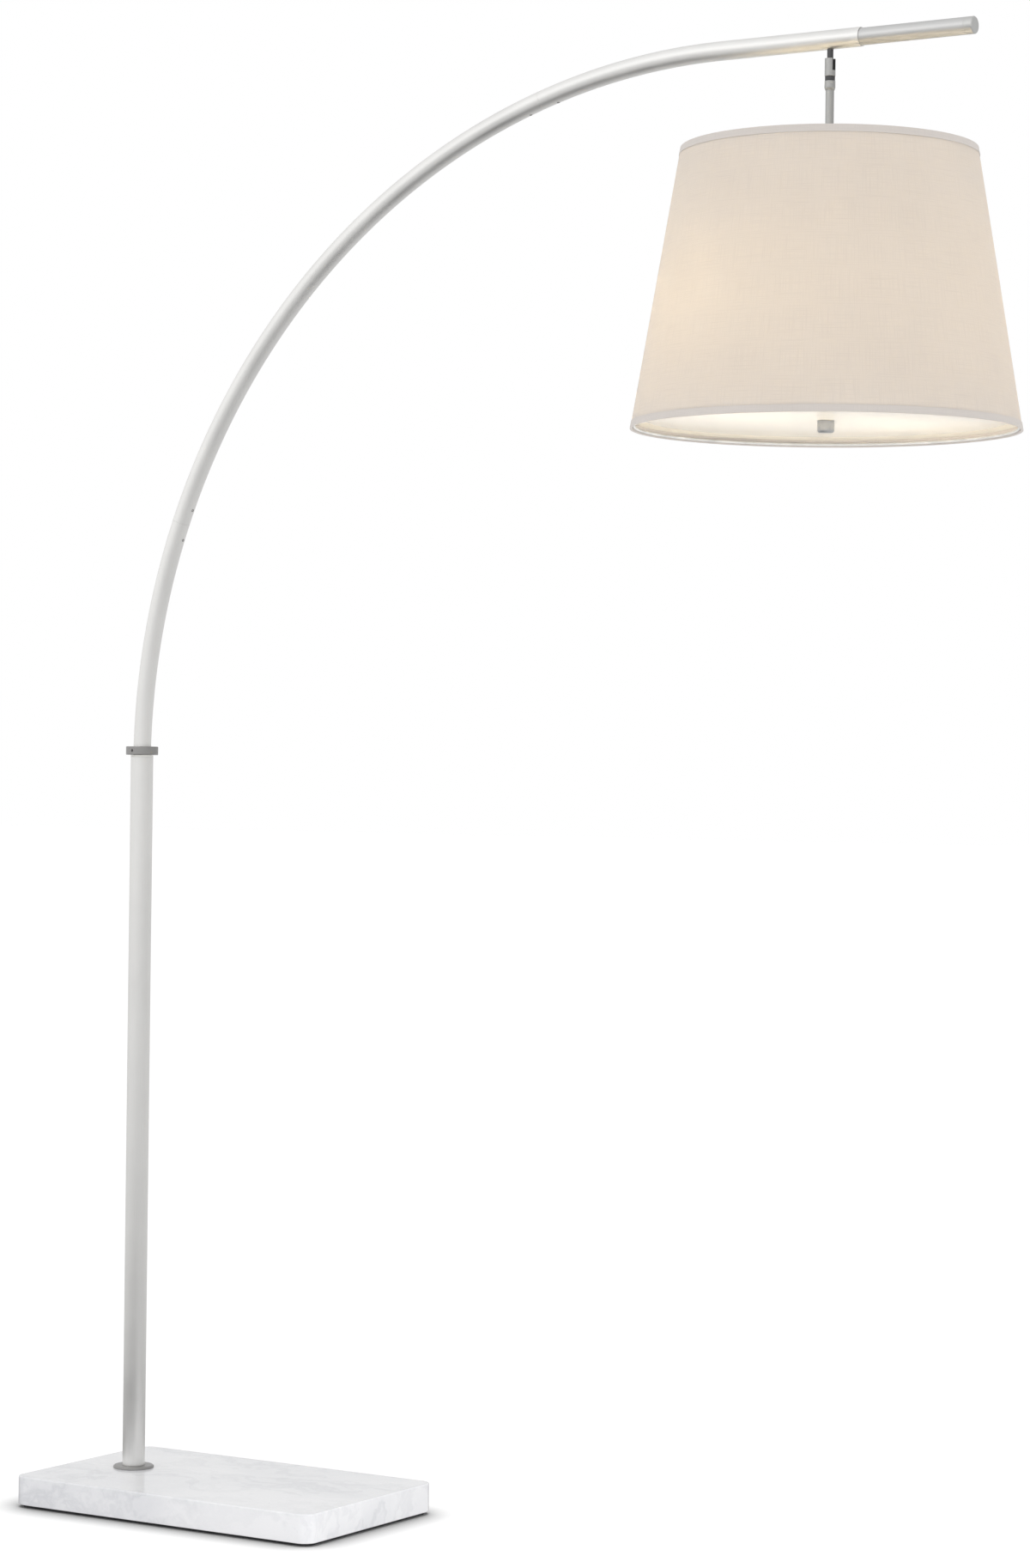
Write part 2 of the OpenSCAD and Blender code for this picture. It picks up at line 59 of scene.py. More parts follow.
def make_camera():
    """A level camera at eye height that looks square across its own aim, slightly rolled."""
    turn = math.radians(VIEW_TURN)
    right = Vector((math.cos(turn), math.sin(turn), 0))
    forward = Vector((-math.sin(turn), math.cos(turn), 0))
    roll = Matrix.Rotation(math.radians(-VIEW_ROLL), 3, forward)
    side, over = roll @ right, roll @ UP
    camera = bpy.data.objects.new("camera", bpy.data.cameras.new("camera"))
    axes = Matrix((side, over, -forward)).transposed().to_4x4()
    stand = right * VIEW_ASIDE - forward * VIEW_DISTANCE + UP * VIEW_HEIGHT
    camera.matrix_world = Matrix.Translation(stand) @ axes
    camera.data.lens = LENS
    bpy.context.scene.collection.objects.link(camera)
    bpy.context.scene.camera = camera
    return right, forward


view_right, view_forward = make_camera()

# ---- sizes that the nodes' boxes don't give, as in the part's source ----

ARC_START = 1.053        # height at which the quarter circle starts
SEAM_LOW = 21.5          # degrees along the arc
SEAM_HIGH = 73.0
ARM_WALL = 1.2 * MM
POLE_WALL = 1.5 * MM
SCREW_DIA = 4 * MM       # grub and joint screws
SCREW_PAST_SEAM = 1.4    # degrees
STUD_DIA = 8 * MM
SLOT_FLOOR = 8 * MM      # below the swivel's axis
SLOT_WIDTH = 8.6 * MM
PIVOT_DROP = 31.5 * MM   # below the arm's centreline
COUNTERBORE_DIA = 46 * MM
COUNTERBORE_DEPTH = 16 * MM
CHANNEL = 9 * MM
SLAB_CORNER = 20 * MM
PAD_CORNER = 13 * MM
BULB_TURNS = (57, 237)
BULB_DIP = 25
SOCKET_SPAN = (32 * MM, 83 * MM)   # along a bulb's axis, from the hub's middle
GLASS_SPAN = (80 * MM, 162 * MM)
SPIDER_TURNS = (32, 152, 272)
TOP_WIDE = 190.5 * MM              # radius of the shade's upper edge
COVER = 0.8 * MM                   # thickness of the linen's CAD solid
LINER = 1.2 * MM
TRIM = 9 * MM                      # height of a hem band
WIRE = 1.6 * MM                    # radius of the shade's wire rings
ROD_BORE = 3.1 * MM                # radius of the holes that the diffuser's rod goes through

# ---- how finely shapes are made ----

BODY_AROUND = 128        # points round the pole, flange and collar
TUBE_AROUND = 72         # round the arm
SHADE_AROUND = 360
RING_AROUND = 240        # round the wire rings and the disc
WIRE_AROUND = 20
ARC_STEP = 0.75          # degrees of the arc between two rings of the arm
CRISP = 30               # degrees: a sharper edge than this stays crisp where a piece is cut
OVERCUT = 5 * MM         # how far a cutter sticks out of its piece


def low(node):
    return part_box(node)[0]


def high(node):
    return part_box(node)[1]


def middle(node):
    return (low(node) + high(node)) / 2


def radius(node):
    """Radius of an upright round node."""
    return (high(node).x - low(node).x) / 2


arm_level = middle("arm_tip").z
arc_radius = arm_level - ARC_START
arm_radius = high("arm_upper").z - arm_level
shade_x = middle("shade_cover").x
pivot_z = arm_level - PIVOT_DROP
hub_middle = Vector((shade_x, 0, (low("cluster_hub").z + high("cluster_hub").z) / 2))

# ---- mesh helpers ----


def upright(x, z):
    """Places rings on an upright line through (x, 0), from height z."""
    return lambda s: (Vector((x, 0, z + s)), Vector((1, 0, 0)), Vector((0, 1, 0)))


def along(start, direction):
    """Places rings on any straight line."""
    direction = Vector(direction).normalized()
    side = direction.orthogonal().normalized()
    over = direction.cross(side)
    return lambda s: (start + direction * s, side, over)


def on_arc(s):
    """Places rings on the arm: s is the length along its centreline from the start of the quarter circle."""
    quarter = arc_radius * math.pi / 2
    angle = min(max(s / arc_radius, 0), math.pi / 2)
    straight = s - min(max(s, 0), quarter)
    centre = Vector((arc_radius * (1 - math.cos(angle)), 0, ARC_START + arc_radius * math.sin(angle)))
    ahead = Vector((math.sin(angle), 0, math.cos(angle)))
    return centre + ahead * straight, Vector((0, 1, 0)), ahead.cross(Vector((0, 1, 0)))


def arc_length(degrees):
    """Length along the arm's centreline at an angle of its quarter circle."""
    return arc_radius * math.radians(degrees)


def eased(points, ease, steps=4, closed=True):
    """A profile with rounded corners, and a point beside each rounding that keeps the flat faces flat."""
    points = [Vector(p) for p in points]
    count = len(points)
    out = []
    for i, p in enumerate(points):
        if not closed and i in (0, count - 1):
            out.append(p)
            continue
        before, after = points[i - 1], points[(i + 1) % count]
        cut = min(ease, 0.3 * (before - p).length, 0.3 * (after - p).length)
        start = p + (before - p).normalized() * cut
        end = p + (after - p).normalized() * cut
        out.append(start + (start - p) * 0.5)
        for k in range(steps + 1):
            t = k / steps
            out.append(start * (1 - t) ** 2 + p * 2 * t * (1 - t) + end * t ** 2)
        out.append(end + (end - p) * 0.5)
    return out


def finely(points, step, closed=True):
    """A profile whose long stretches are cut into steps, so that it can follow a curve."""
    out = []
    pairs = zip(points, points[1:] + points[:1]) if closed else zip(points, points[1:])
    for a, b in pairs:
        pieces = max(1, math.ceil(abs(b[0] - a[0]) / step))
        out += [a.lerp(b, k / pieces) for k in range(pieces)]
    if not closed:
        out.append(points[-1])
    return out


def link(name, mesh):
    piece = bpy.data.objects.new(name, mesh)
    bpy.context.scene.collection.objects.link(piece)
    return piece


def sweep_into(bm, profile, line, around=96, closed=True, knurl=None):
    """Adds a surface of rings to bm, placed by line: upright(), along() or on_arc.
    profile holds (distance along the line, ring radius) points. UVs are metres round and along.
    knurl is (ridges, depth, least radius): rings wider than that get fine ridges."""
    uv = bm.loops.layers.uv.verify()
    rings = []
    for s, r in profile:
        centre, side, over = line(s)
        if r < 1e-7:
            rings.append([bm.verts.new(centre)] * around)
            continue
        ring = []
        for j in range(around):
            turn = 2 * math.pi * j / around
            reach = r
            if knurl and r > knurl[2]:
                reach = r - knurl[1] * (0.5 - 0.5 * math.cos(knurl[0] * turn))
            ring.append(bm.verts.new(centre + (side * math.cos(turn) + over * math.sin(turn)) * reach))
        rings.append(ring)
    widest = max(r for _, r in profile)
    length = 0
    spans = range(len(rings)) if closed else range(len(rings) - 1)
    for i in spans:
        a, b = rings[i], rings[(i + 1) % len(rings)]
        step = (Vector(profile[(i + 1) % len(rings)]) - Vector(profile[i])).length
        for j in range(around):
            k = (j + 1) % around
            corners = [(a[j], j, 0), (a[k], j + 1, 0), (b[k], j + 1, 1), (b[j], j, 1)]
            kept = [c for n, c in enumerate(corners) if c[0] not in [d[0] for d in corners[:n]]]
            if len(kept) < 3:
                continue
            face = bm.faces.new([c[0] for c in kept])
            face.smooth = True
            for loop, (_, turn, end) in zip(face.loops, kept):
                loop[uv].uv = (turn / around * 2 * math.pi * widest, length + end * step)
        length += step


def turned(name, profile, line, around=96, closed=True, knurl=None):
    """A piece made of one swept surface."""
    bm = bmesh.new()
    sweep_into(bm, profile, line, around, closed, knurl)
    return finished(name, bm)


def finished(name, bm):
    """A piece made of what bm holds, with its faces turned outwards."""
    bmesh.ops.recalc_face_normals(bm, faces=bm.faces)
    mesh = bpy.data.meshes.new(name)
    bm.to_mesh(mesh)
    bm.free()
    return link(name, mesh)


def ring_profile(length, outer, inner, ease=0.3 * MM):
    """Cross-section of a plain tube or washer."""
    return eased([(0, inner), (0, outer), (length, outer), (length, inner)], ease)


def rod_profile(length, outer, ease=0.3 * MM):
    """Half-section of a solid rod, from its axis round to its axis."""
    return eased([(0, 0), (0, outer), (length, outer), (length, 0)], ease, closed=False)


def plate_into(bm, outline, z0, z1, ease, steps=4):
    """Adds an upright plate with a convex outline and rounded edges. UVs are metres along X and Y."""
    uv = bm.loops.layers.uv.verify()
    count = len(outline)
    inward = []
    for i, p in enumerate(outline):
        before = (p - outline[i - 1]).normalized()
        after = (outline[(i + 1) % count] - p).normalized()
        normal_a, normal_b = Vector((-before.y, before.x)), Vector((-after.y, after.x))
        inward.append((normal_a + normal_b) / (1 + normal_a.dot(normal_b)))
    levels = [(1.5 * ease, 0)]
    levels += [(ease * (1 - math.sin(t)), ease * (1 - math.cos(t)))
               for t in (math.pi / 2 * k / steps for k in range(steps + 1))]
    levels += [(0, 1.5 * ease)]
    stack = [(inset, z0 + rise) for inset, rise in levels]
    stack += [(inset, z1 - rise) for inset, rise in reversed(levels)]
    rings = [[bm.verts.new((p + n * inset).to_3d() + UP * z) for p, n in zip(outline, inward)]
             for inset, z in stack]
    faces = [bm.faces.new(list(reversed(rings[0]))), bm.faces.new(rings[-1])]
    for a, b in zip(rings, rings[1:]):
        for i in range(count):
            k = (i + 1) % count
            faces.append(bm.faces.new([a[i], a[k], b[k], b[i]]))
    for face in faces:
        face.smooth = True
        for loop in face.loops:
            loop[uv].uv = loop.vert.co.xy + Vector((0, loop.vert.co.z))


def round_rectangle(centre, length, width, corner, steps=12):
    """Outline of a rectangle with round corners, anticlockwise."""
    out = []
    for quarter, (sx, sy) in enumerate([(1, 1), (-1, 1), (-1, -1), (1, -1)]):
        middle_point = centre + Vector((sx * (length / 2 - corner), sy * (width / 2 - corner)))
        for k in range(steps + 1):
            turn = math.pi / 2 * (quarter + k / steps)
            out.append(middle_point + Vector((math.cos(turn), math.sin(turn))) * corner)
    return out


def carved(piece, cutters):
    """Cuts the cutters out of a piece, removes them, and keeps the cut edges crisp."""
    for cutter in cutters:
        cut = piece.modifiers.new("cut", "BOOLEAN")
        cut.operation = "DIFFERENCE"
        cut.solver = "EXACT"
        cut.object = cutter
    bpy.context.view_layer.update()
    seen = piece.evaluated_get(bpy.context.evaluated_depsgraph_get())
    mesh = bpy.data.meshes.new_from_object(seen)
    piece.modifiers.clear()
    piece.data = mesh
    for cutter in cutters:
        bpy.data.objects.remove(cutter)
    mesh.set_sharp_from_angle(angle=math.radians(CRISP))
    return piece


def box_cutter(corner_a, corner_b):
    bm = bmesh.new()
    bmesh.ops.create_cube(bm, size=1)
    a, b = Vector(corner_a), Vector(corner_b)
    for v in bm.verts:
        v.co = (a + b) / 2 + Vector(v.co[i] * (b - a)[i] for i in range(3))
    return finished("cutter", bm)


def rod_cutter(start, direction, length, dia, around=48):
    profile = rod_profile(length, dia / 2, 0.01 * MM)
    return turned("cutter", profile, along(Vector(start), direction), around)


# ---- material helpers ----


class Nodes:
    """Short calls to build a node tree."""

    def __init__(self, tree):
        self.tree = tree

    def node(self, kind, inputs=None, **settings):
        made = self.tree.nodes.new("ShaderNode" + kind)
        for key, value in settings.items():
            setattr(made, key, value)
        for key, value in (inputs or {}).items():
            self.put(made.inputs[key], value)
        return made

    def put(self, socket, value):
        """Links a socket, or sets it to a plain value."""
        if isinstance(value, bpy.types.NodeSocket):
            self.tree.links.new(value, socket)
        else:
            socket.default_value = value

    def coordinates(self, kind, scale):
        """Coordinates stretched by a scale in features per metre."""
        source = self.node("TexCoord").outputs[kind]
        return self.node("Mapping", {"Vector": source, "Scale": scale}).outputs["Vector"]

    def noise(self, where, detail=3, roughness=0.5):
        inputs = {"Vector": where, "Scale": 1.0, "Detail": detail, "Roughness": roughness}
        return self.node("TexNoise", inputs).outputs["Fac"]

    def sum(self, operation, a, b=0.0):
        return self.node("Math", {0: a, 1: b}, operation=operation).outputs[0]

    def weighed(self, a, share_a, b, share_b):
        """Two numbers added, each times its share."""
        return self.sum("ADD", self.sum("MULTIPLY", a, share_a), self.sum("MULTIPLY", b, share_b))

    def spread(self, value, start, end, to_start, to_end):
        """A value moved from one range to another, and held inside it."""
        return self.node("MapRange", {"Value": value, "From Min": start, "From Max": end,
                                      "To Min": to_start, "To Max": to_end}).outputs["Result"]

    def mix(self, factor, a, b):
        """A colour between a and b."""
        made = self.node("Mix", data_type="RGBA")
        for socket, value in zip((made.inputs[0], made.inputs[6], made.inputs[7]), (factor, a, b)):
            self.put(socket, value)
        return made.outputs[2]

    def between(self, factor, a, b):
        """A number between a and b."""
        made = self.node("Mix")
        for socket, value in zip((made.inputs[0], made.inputs[2], made.inputs[3]), (factor, a, b)):
            self.put(socket, value)
        return made.outputs[0]


class Finish(Nodes):
    """A procedural material."""

    def __init__(self, name, **plain):
        self.material = bpy.data.materials.new(name)
        self.material.use_nodes = True
        super().__init__(self.material.node_tree)
        self.surface = self.tree.nodes["Principled BSDF"]
        self.output = self.tree.nodes["Material Output"]
        for socket, value in plain.items():
            self.surface.inputs[socket.replace("_", " ")].default_value = value

    def colour(self, value):
        self.put(self.surface.inputs["Base Color"], value)

    def rough(self, value):
        self.put(self.surface.inputs["Roughness"], value)

    def bump(self, height, depth):
        """Surface relief: depth is its height in metres."""
        made = self.node("Bump", {"Height": height, "Strength": 1.0, "Distance": depth})
        self.put(self.surface.inputs["Normal"], made.outputs["Normal"])
        return made.outputs["Normal"]

    def lit_from_behind(self, share, colour, normal):
        """Light comes through share of the surface."""
        through = self.node("BsdfTranslucent", {"Color": colour, "Normal": normal})
        both = self.node("MixShader", {0: share, 1: self.surface.outputs[0], 2: through.outputs[0]})
        self.put(self.output.inputs["Surface"], both.outputs[0])


def grey(level):
    return (level, level, level, 1.0)


def tint(r, g, b):
    return (r, g, b, 1.0)


def shifted(colour, by):
    """A colour made lighter or darker."""
    return tuple(min(1.0, c * by) for c in colour[:3]) + (1.0,)


# ---- materials ----

NICKEL = tint(0.80, 0.795, 0.78)
LINEN = tint(0.735, 0.685, 0.645)
LINEN_BEHIND = tint(1.0, 0.80, 0.53)    # the bulbs' light after it has come through
MARBLE_LIGHT = tint(0.765, 0.765, 0.78)
MARBLE_DARK = tint(0.65, 0.655, 0.68)
MARBLE_VEIN = tint(0.50, 0.51, 0.54)
MARBLE_WARP = 0.22                      # metres that the pattern is bent, at most
VEIN_WIDTH = 0.055
THREAD_PITCH = 0.75 * MM
THREAD_RELIEF = 0.12 * MM
BULB_NECK = 35 * MM                     # length of a bulb's dimmer part


def plated(name, colour, roughness, coordinate, grain, depth):
    """Brushed plating: fine lines, cloudy wear, and a little change of tone."""
    made = Finish(name, Metallic=1.0)
    lines = made.noise(made.coordinates(coordinate, grain), 4, 0.6)
    cloud = made.noise(made.coordinates("Object", (14, 14, 9)), 3, 0.55)
    tone = made.weighed(lines, 0.35, cloud, 0.65)
    made.colour(made.mix(made.spread(tone, 0.3, 0.7, 0, 1), shifted(colour, 0.93), shifted(colour, 1.05)))
    made.rough(made.spread(tone, 0.3, 0.7, roughness * 0.85, roughness * 1.2))
    made.bump(lines, depth)
    return made.material


def marble():
    """Polished white stone: broad grey clouds, thin warped veins and fine crystal grain."""
    made = Finish("marble", IOR=1.5)
    made.surface.inputs["Coat Weight"].default_value = 0.35
    made.surface.inputs["Coat Roughness"].default_value = 0.06
    where = made.coordinates("Object", (1, 1, 1))
    warp = made.node("TexNoise", {"Vector": where, "Scale": 6.0, "Detail": 4.0, "Roughness": 0.6})
    bend = made.node("VectorMath", {0: warp.outputs["Color"], 1: (MARBLE_WARP,) * 3}, operation="MULTIPLY")
    bent = made.node("VectorMath", {0: where, 1: bend.outputs[0]}, operation="ADD").outputs[0]
    slant = made.node("Mapping", {"Vector": bent, "Rotation": (0.3, 0.2, 0.75), "Scale": (4.5, 12.0, 8.0)})
    cloud = made.noise(slant.outputs["Vector"], 5, 0.62)
    ridge = made.sum("ABSOLUTE", made.sum("SUBTRACT", cloud, 0.5))
    vein = made.spread(ridge, 0.0, VEIN_WIDTH, 1.0, 0.0)
    wide = made.node("Mapping", {"Vector": bent, "Location": (3.1, 1.7, 0.4), "Rotation": (0.1, 0.5, 1.0),
                                 "Scale": (3.0, 5.0, 5.0)})
    patch = made.noise(wide.outputs["Vector"], 4, 0.5)
    body = made.mix(made.spread(patch, 0.42, 0.72, 0.0, 1.0), MARBLE_LIGHT, MARBLE_DARK)
    strength = made.sum("MULTIPLY", vein, made.spread(patch, 0.3, 0.65, 0.05, 0.45))
    veined = made.mix(strength, body, MARBLE_VEIN)
    grain = made.noise(made.coordinates("Object", (420, 420, 420)), 2, 0.5)
    made.colour(made.mix(made.spread(grain, 0.3, 0.7, 0.0, 0.06), veined, grey(0.95)))
    made.rough(made.spread(grain, 0.3, 0.7, 0.10, 0.17))
    made.bump(grain, 0.01 * MM)
    return made.material


def weave(made, pitch, where):
    """Height of a plain weave of round threads, and how thick each thread is."""
    split = made.node("SeparateXYZ", {"Vector": where})
    along_x = made.sum("MULTIPLY", split.outputs["X"], math.pi / pitch)
    along_y = made.sum("MULTIPLY", split.outputs["Y"], math.pi / pitch)
    thread_x = made.sum("ABSOLUTE", made.sum("SINE", along_x))
    thread_y = made.sum("ABSOLUTE", made.sum("SINE", along_y))
    over = made.sum("MULTIPLY", made.sum("COSINE", along_x), made.sum("COSINE", along_y))
    over = made.spread(over, -0.4, 0.4, 0.0, 1.0)
    warp = made.sum("MULTIPLY", thread_x, over)
    weft = made.sum("MULTIPLY", thread_y, made.sum("SUBTRACT", 1.0, over))
    return made.sum("MAXIMUM", warp, weft)


def linen(name, colour, behind, lit_share):
    """Plain-weave linen with slubs. Light from the bulbs comes through it in lit_share of its surface."""
    made = Finish(name, Roughness=0.88, IOR=1.4)
    made.surface.inputs["Sheen Weight"].default_value = 0.25
    made.surface.inputs["Sheen Roughness"].default_value = 0.5
    slub_x = made.noise(made.coordinates("UV", (18, 900, 1)), 3, 0.65)
    slub_y = made.noise(made.coordinates("UV", (1100, 22, 1)), 3, 0.65)
    slub = made.sum("MAXIMUM", slub_x, slub_y)
    cloud = made.noise(made.coordinates("UV", (9, 9, 1)), 3, 0.5)
    threads = weave(made, THREAD_PITCH, made.coordinates("UV", (1, 1, 1)))
    tone = made.weighed(made.spread(slub, 0.45, 0.75, 0, 1), 0.55, cloud, 0.45)
    threaded = made.sum("MULTIPLY", tone, made.spread(threads, 0.1, 0.9, 0.82, 1.0))
    made.colour(made.mix(threaded, shifted(colour, 1.05), shifted(colour, 0.89)))
    normal = made.bump(made.weighed(threads, 1.0, slub, 0.8), THREAD_RELIEF)
    made.lit_from_behind(lit_share, made.mix(threaded, shifted(behind, 1.05), shifted(behind, 0.8)), normal)
    return made.material


def milky(name, colour, behind, lit_share, roughness, grain, depth):
    """Light-spreading plastic: a smooth face with faint clouds and dust, lit from behind."""
    made = Finish(name, IOR=1.49)
    cloud = made.noise(made.coordinates("Object", (11, 11, 11)), 3, 0.5)
    specks = made.noise(made.coordinates("Object", (grain, grain, grain)), 2, 0.5)
    tone = made.weighed(cloud, 0.6, specks, 0.4)
    made.colour(made.mix(tone, shifted(colour, 1.03), shifted(colour, 0.94)))
    made.rough(made.spread(specks, 0.3, 0.7, roughness * 0.8, roughness * 1.25))
    normal = made.bump(specks, depth)
    made.lit_from_behind(lit_share, made.mix(tone, shifted(behind, 1.03), shifted(behind, 0.95)), normal)
    return made.material


def moulded(name, colour, roughness, grain, depth):
    """Plastic, foam or paint with a fine skin texture."""
    made = Finish(name)
    skin = made.noise(made.coordinates("Object", (grain, grain, grain)), 3, 0.6)
    cloud = made.noise(made.coordinates("Object", (30, 30, 30)), 2, 0.5)
    made.colour(made.mix(made.spread(cloud, 0.3, 0.7, 0, 1), shifted(colour, 0.85), shifted(colour, 1.2)))
    made.rough(made.spread(skin, 0.3, 0.7, roughness * 0.85, min(1.0, roughness * 1.15)))
    made.bump(skin, depth)
    return made.material


def frosted_bulb(name, colour, glow):
    """A lit frosted bulb, a little dimmer towards its neck."""
    made = Finish(name, Roughness=0.45, IOR=1.5)
    frost = made.noise(made.coordinates("Object", (700, 700, 700)), 2, 0.5)
    reach = made.node("SeparateXYZ", {"Vector": made.coordinates("UV", (1, 1, 1))}).outputs["Y"]
    made.colour(made.mix(frost, tint(0.93, 0.91, 0.86), tint(0.86, 0.84, 0.78)))
    light = made.mix(made.spread(reach, 0.0, BULB_NECK, 0.0, 1.0), shifted(colour, 0.45), colour)
    made.put(made.surface.inputs["Emission Color"], light)
    made.surface.inputs["Emission Strength"].default_value = glow
    made.bump(frost, 0.02 * MM)
    return made.material


FINISHES = {
    "marble": marble(),
    "pad_foam": moulded("pad_foam", tint(0.03, 0.03, 0.032), 0.9, 1600, 0.15 * MM),
    "satin_nickel": plated("satin_nickel", NICKEL, 0.42, "UV", (1500, 26, 1), 0.0015 * MM),
    "tip_nickel": plated("tip_nickel", tint(0.58, 0.58, 0.575), 0.38, "UV", (1100, 26, 1), 0.003 * MM),
    # A darker copy of tip_nickel: painted shade on the stem, the stem's joint and the swivel cup.
    "stem_nickel_painted_shade": plated("stem_nickel_painted_shade", tint(0.42, 0.42, 0.41), 0.38, "UV", (1100, 26, 1), 0.003 * MM),
    "cap_nickel": plated("cap_nickel", tint(0.57, 0.57, 0.56), 0.4, "UV", (1100, 40, 1), 0.003 * MM),
    "dark_nickel": plated("dark_nickel", tint(0.32, 0.315, 0.31), 0.34, "UV", (1500, 90, 1), 0.005 * MM),
    "black_nickel": plated("black_nickel", tint(0.09, 0.09, 0.092), 0.3, "UV", (1500, 90, 1), 0.005 * MM),
    "zinc_steel": plated("zinc_steel", tint(0.62, 0.64, 0.66), 0.34, "Object", (260, 260, 900), 0.01 * MM),
    "nylon": moulded("nylon", tint(0.78, 0.77, 0.73), 0.5, 900, 0.02 * MM),
    "lead_sheath": moulded("lead_sheath", tint(0.03, 0.03, 0.03), 0.55, 1200, 0.02 * MM),
    "white_wire": moulded("white_wire", tint(0.78, 0.77, 0.74), 0.4, 1100, 0.03 * MM),
    "liner_film": milky("liner_film", tint(0.92, 0.91, 0.88), tint(0.98, 0.965, 0.93), 0.62, 0.4, 800,
                        0.01 * MM),
    "linen": linen("linen", LINEN, LINEN_BEHIND, 0.22),
    "linen_trim": linen("linen_trim", shifted(LINEN, 0.95), LINEN_BEHIND, 0.1),
    "phenolic": moulded("phenolic", tint(0.045, 0.042, 0.04), 0.35, 1400, 0.02 * MM),
    "bulb_screw": plated("bulb_screw", tint(0.66, 0.66, 0.64), 0.3, "UV", (2400, 500, 1), 0.006 * MM),
    "bulb_glass": frosted_bulb("bulb_glass", tint(1.0, 0.88, 0.70), 20.5),
    "opal_acrylic": milky("opal_acrylic", tint(0.90, 0.91, 0.92), tint(0.94, 0.915, 0.865), 0.43, 0.12, 900,
                          0.004 * MM),
}


def place(piece, body, slot, node, look=None):
    """Gives a new piece its body and a finish, its slot's or another look, and lets it stand for a node."""
    piece.data.materials.clear()
    piece.data.materials.append(FINISHES[look or slot])
    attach(piece, body)
    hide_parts(node)
    return piece


def finish_cad_nodes():
    """Every CAD node that stays gets the procedural finish of its own slot."""
    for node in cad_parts.values():
        for index, material in enumerate(node.data.materials):
            node.data.materials[index] = FINISHES[material.name.split(".")[0]]


finish_cad_nodes()

# ---- base ----


def make_base():
    """The slab with its counterbore and cord channel, the pad under it, the foot flange and the pole."""
    slab_low, slab_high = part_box("base_slab")
    size = slab_high - slab_low
    outline = round_rectangle(middle("base_slab").xy, size.x, size.y, SLAB_CORNER)
    bm = bmesh.new()
    slab_edge = 1.6 * MM
    plate_into(bm, outline, slab_low.z, slab_high.z, slab_edge)
    under = slab_low.z - OVERCUT
    cuts = [
        rod_cutter((0, 0, under), UP, COUNTERBORE_DEPTH + OVERCUT, COUNTERBORE_DIA),
        box_cutter((slab_low.x - 1 * MM, -CHANNEL / 2, under), (0, CHANNEL / 2, slab_low.z + CHANNEL)),
    ]
    place(carved(finished("marble_slab", bm), cuts), "base", "marble", "base_slab")

    pad_low, pad_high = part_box("base_pad")
    pad_size = pad_high - pad_low
    bm = bmesh.new()
    outline = round_rectangle(middle("base_pad").xy, pad_size.x, pad_size.y, PAD_CORNER)
    pad_edge = 0.8 * MM
    plate_into(bm, outline, pad_low.z, pad_high.z, pad_edge)
    place(finished("foam_pad", bm), "base", "pad_foam", "base_pad")

    flange_low, flange_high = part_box("base_flange")
    height = flange_high.z - flange_low.z
    wide = radius("base_flange")
    pole_wide = radius("pole_tube")
    bore = 5 * MM
    rim_height = height * 0.6
    slope = 1.6 * MM
    profile = eased([(0, bore), (0, wide), (rim_height, wide), (height, wide - slope),
                     (height, pole_wide - 2 * MM), (height, bore)], 0.6 * MM)
    flange = turned("foot_flange", profile, upright(0, flange_low.z), BODY_AROUND)
    place(flange, "base", "dark_nickel", "base_flange")

    pole_low, pole_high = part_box("pole_tube")
    profile = ring_profile(pole_high.z - pole_low.z, pole_wide, pole_wide - POLE_WALL, 0.5 * MM)
    pole = turned("pole", profile, upright(0, pole_low.z), BODY_AROUND)
    place(pole, "base", "satin_nickel", "pole_tube")


make_base()

# ---- arm ----


def arm_tube(name, start, end, node):
    """One tube of the arm, with eased ends that leave a fine line at its seam."""
    end_ease = 0.45 * MM
    profile = ring_profile(end - start, arm_radius, arm_radius - ARM_WALL, end_ease)
    profile = finely([Vector((s + start, r)) for s, r in profile], arc_length(ARC_STEP))
    return place(turned(name, profile, on_arc, TUBE_AROUND), "arm", "satin_nickel", node)


def socket_screw(name, start, direction, length, body, node):
    """A grub screw: a rounded face with a hexagon recess."""
    recess_depth = 1.6 * MM
    recess_wide = 1.15 * MM
    start, direction = Vector(start), Vector(direction)
    screw = turned(name, rod_profile(length, SCREW_DIA / 2, 0.35 * MM), along(start, direction), 48)
    recess_start = start + direction.normalized() * (length - recess_depth)
    recess = turned("cutter", rod_profile(3 * MM, recess_wide, 0.01 * MM), along(recess_start, direction), 6)
    return place(carved(screw, [recess]), body, "dark_nickel", node)


